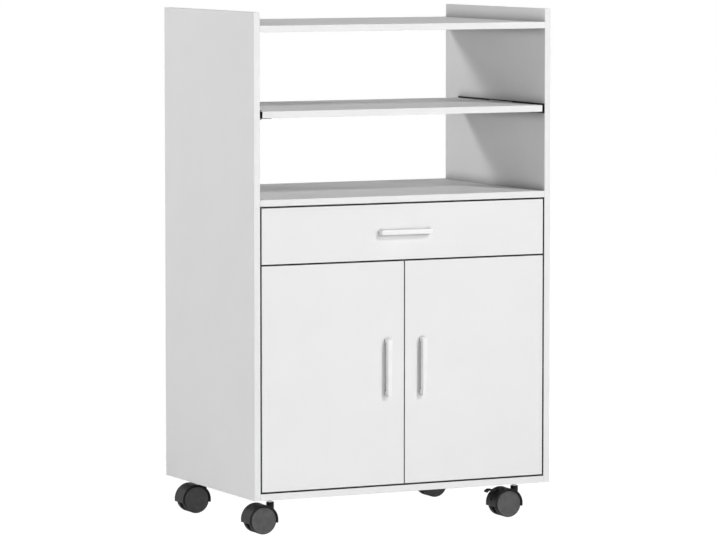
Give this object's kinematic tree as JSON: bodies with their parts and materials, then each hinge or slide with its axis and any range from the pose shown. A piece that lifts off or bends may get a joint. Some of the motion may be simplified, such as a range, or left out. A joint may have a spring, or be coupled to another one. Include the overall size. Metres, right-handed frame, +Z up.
{
  "type": "microwave cart",
  "caption": "White kitchen cart on twin-wheel casters with open bays, a pull-out shelf on ball slides, a drawer and a cupboard with two hinged doors.",
  "frame": {"origin": "middle of the whole cart's footprint, on the floor under the wheels", "axes": "+Z up, -Y out of the doors, +X to the right of someone facing the doors"},
  "size_m": [0.6, 0.414, 0.941],
  "materials": {
    "white_board": "white melamine-faced chipboard, satin",
    "white_hardboard": "thin white-lacquered hardboard",
    "handle_paint": "white powder-coated zinc alloy, satin",
    "black_slide": "black-coated rolled steel",
    "zinc_slide": "zinc-plated rolled steel",
    "steel": "zinc-plated steel",
    "cam_zinc": "die-cast zinc alloy",
    "dowel_wood": "fluted beech",
    "hood_nylon": "black moulded nylon, fine texture",
    "wheel_nylon": "black moulded nylon wheel, satin"
  },
  "bodies": {
    "cabinet": {"side_panel_left": "white_board", "side_panel_right": "white_board", "top_board": "white_board", "cabinet_top_board": "white_board", "divider_rail": "white_board", "bottom_board": "white_board", "back_panel": "white_hardboard", "cam_locks": "cam_zinc", "cam_bolts": "steel", "dowels": "dowel_wood", "shelf_channel_left": "black_slide", "shelf_channel_right": "black_slide", "panel_screws": "steel", "drawer_channel_left": "zinc_slide", "drawer_channel_right": "zinc_slide", "hinge_arms": "zinc_slide", "hinge_plates": "zinc_slide", "caster_plates": "zinc_slide", "caster_screws": "steel"},
    "shelf": {"sliding_shelf": "white_board", "shelf_runner_left": "black_slide", "shelf_runner_right": "black_slide", "shelf_screws": "black_slide"},
    "shelf_balls": {"shelf_ball_cages": "steel"},
    "drawer": {"drawer_front": "white_board", "drawer_side_left": "white_board", "drawer_side_right": "white_board", "drawer_back": "white_board", "drawer_bottom": "white_hardboard", "drawer_handle": "handle_paint", "drawer_runner_left": "zinc_slide", "drawer_runner_right": "zinc_slide", "drawer_fasteners": "steel"},
    "drawer_balls": {"drawer_ball_cages": "steel"},
    "left_door": {"door_left": "white_board", "door_handle_left": "handle_paint", "door_screws_left": "steel", "hinge_cups_left": "zinc_slide"},
    "right_door": {"door_right": "white_board", "door_handle_right": "handle_paint", "door_screws_right": "steel", "hinge_cups_right": "zinc_slide"},
    "caster_front_left": {"caster_hood_front_left": "hood_nylon", "caster_axle_front_left": "steel"},
    "wheel_front_left_a": {"wheel_front_left_a": "wheel_nylon"},
    "wheel_front_left_b": {"wheel_front_left_b": "wheel_nylon"},
    "caster_front_right": {"caster_hood_front_right": "hood_nylon", "caster_axle_front_right": "steel"},
    "wheel_front_right_a": {"wheel_front_right_a": "wheel_nylon"},
    "wheel_front_right_b": {"wheel_front_right_b": "wheel_nylon"},
    "brake_front": {"brake_lever_front": "hood_nylon"},
    "caster_rear_left": {"caster_hood_rear_left": "hood_nylon", "caster_axle_rear_left": "steel"},
    "wheel_rear_left_a": {"wheel_rear_left_a": "wheel_nylon"},
    "wheel_rear_left_b": {"wheel_rear_left_b": "wheel_nylon"},
    "caster_rear_right": {"caster_hood_rear_right": "hood_nylon", "caster_axle_rear_right": "steel"},
    "wheel_rear_right_a": {"wheel_rear_right_a": "wheel_nylon"},
    "wheel_rear_right_b": {"wheel_rear_right_b": "wheel_nylon"},
    "brake_rear": {"brake_lever_rear": "hood_nylon"}
  },
  "joints": [
    {"name": "shelf_slide", "type": "slide", "parent": "cabinet", "child": "shelf", "axis": [0, -1, 0], "range_m": [0, 0.24]},
    {"name": "shelf_balls_roll", "type": "slide", "parent": "cabinet", "child": "shelf_balls", "axis": [0, -1, 0], "range_m": [0, 0.12]},
    {"name": "drawer_slide", "type": "slide", "parent": "cabinet", "child": "drawer", "axis": [0, -1, 0], "range_m": [0, 0.24]},
    {"name": "drawer_balls_roll", "type": "slide", "parent": "cabinet", "child": "drawer_balls", "axis": [0, -1, 0], "range_m": [0, 0.12]},
    {"name": "left_door_hinge", "type": "hinge", "parent": "cabinet", "child": "left_door", "pos_m": [-0.276, -0.187, 0.2835], "axis": [0, 0, -1], "range_deg": [0, 95]},
    {"name": "right_door_hinge", "type": "hinge", "parent": "cabinet", "child": "right_door", "pos_m": [0.276, -0.187, 0.2835], "axis": [0, 0, 1], "range_deg": [0, 95]},
    {"name": "front_left_swivel", "type": "hinge", "parent": "cabinet", "child": "caster_front_left", "pos_m": [-0.2497, -0.15, 0.055], "axis": [0, 0, 1], "continuous": true},
    {"name": "front_left_wheel_a", "type": "hinge", "parent": "caster_front_left", "child": "wheel_front_left_a", "pos_m": [-0.2704, -0.1614, 0.025], "axis": [0, 1, 0], "continuous": true},
    {"name": "front_left_wheel_b", "type": "hinge", "parent": "caster_front_left", "child": "wheel_front_left_b", "pos_m": [-0.2704, -0.1386, 0.025], "axis": [0, 1, 0], "continuous": true},
    {"name": "front_right_swivel", "type": "hinge", "parent": "cabinet", "child": "caster_front_right", "pos_m": [0.2497, -0.15, 0.055], "axis": [0, 0, 1], "continuous": true},
    {"name": "front_right_wheel_a", "type": "hinge", "parent": "caster_front_right", "child": "wheel_front_right_a", "pos_m": [0.229, -0.1614, 0.025], "axis": [0, 1, 0], "continuous": true},
    {"name": "front_right_wheel_b", "type": "hinge", "parent": "caster_front_right", "child": "wheel_front_right_b", "pos_m": [0.229, -0.1386, 0.025], "axis": [0, 1, 0], "continuous": true},
    {"name": "front_brake", "type": "hinge", "parent": "caster_front_right", "child": "brake_front", "pos_m": [0.216, -0.15, 0.037], "axis": [0, -1, 0], "range_deg": [0, 12]},
    {"name": "rear_left_swivel", "type": "hinge", "parent": "cabinet", "child": "caster_rear_left", "pos_m": [-0.2497, 0.15, 0.055], "axis": [0, 0, 1], "continuous": true},
    {"name": "rear_left_wheel_a", "type": "hinge", "parent": "caster_rear_left", "child": "wheel_rear_left_a", "pos_m": [-0.2704, 0.1386, 0.025], "axis": [0, 1, 0], "continuous": true},
    {"name": "rear_left_wheel_b", "type": "hinge", "parent": "caster_rear_left", "child": "wheel_rear_left_b", "pos_m": [-0.2704, 0.1614, 0.025], "axis": [0, 1, 0], "continuous": true},
    {"name": "rear_right_swivel", "type": "hinge", "parent": "cabinet", "child": "caster_rear_right", "pos_m": [0.2497, 0.15, 0.055], "axis": [0, 0, 1], "continuous": true},
    {"name": "rear_right_wheel_a", "type": "hinge", "parent": "caster_rear_right", "child": "wheel_rear_right_a", "pos_m": [0.229, 0.1386, 0.025], "axis": [0, 1, 0], "continuous": true},
    {"name": "rear_right_wheel_b", "type": "hinge", "parent": "caster_rear_right", "child": "wheel_rear_right_b", "pos_m": [0.229, 0.1614, 0.025], "axis": [0, 1, 0], "continuous": true},
    {"name": "rear_brake", "type": "hinge", "parent": "caster_rear_right", "child": "brake_rear", "pos_m": [0.216, 0.15, 0.037], "axis": [0, -1, 0], "range_deg": [0, 12]}
  ],
  "couplings": [
    {"joint": "shelf_balls_roll", "follows": "shelf_slide", "ratio": 0.5},
    {"joint": "drawer_balls_roll", "follows": "drawer_slide", "ratio": 0.5}
  ]
}
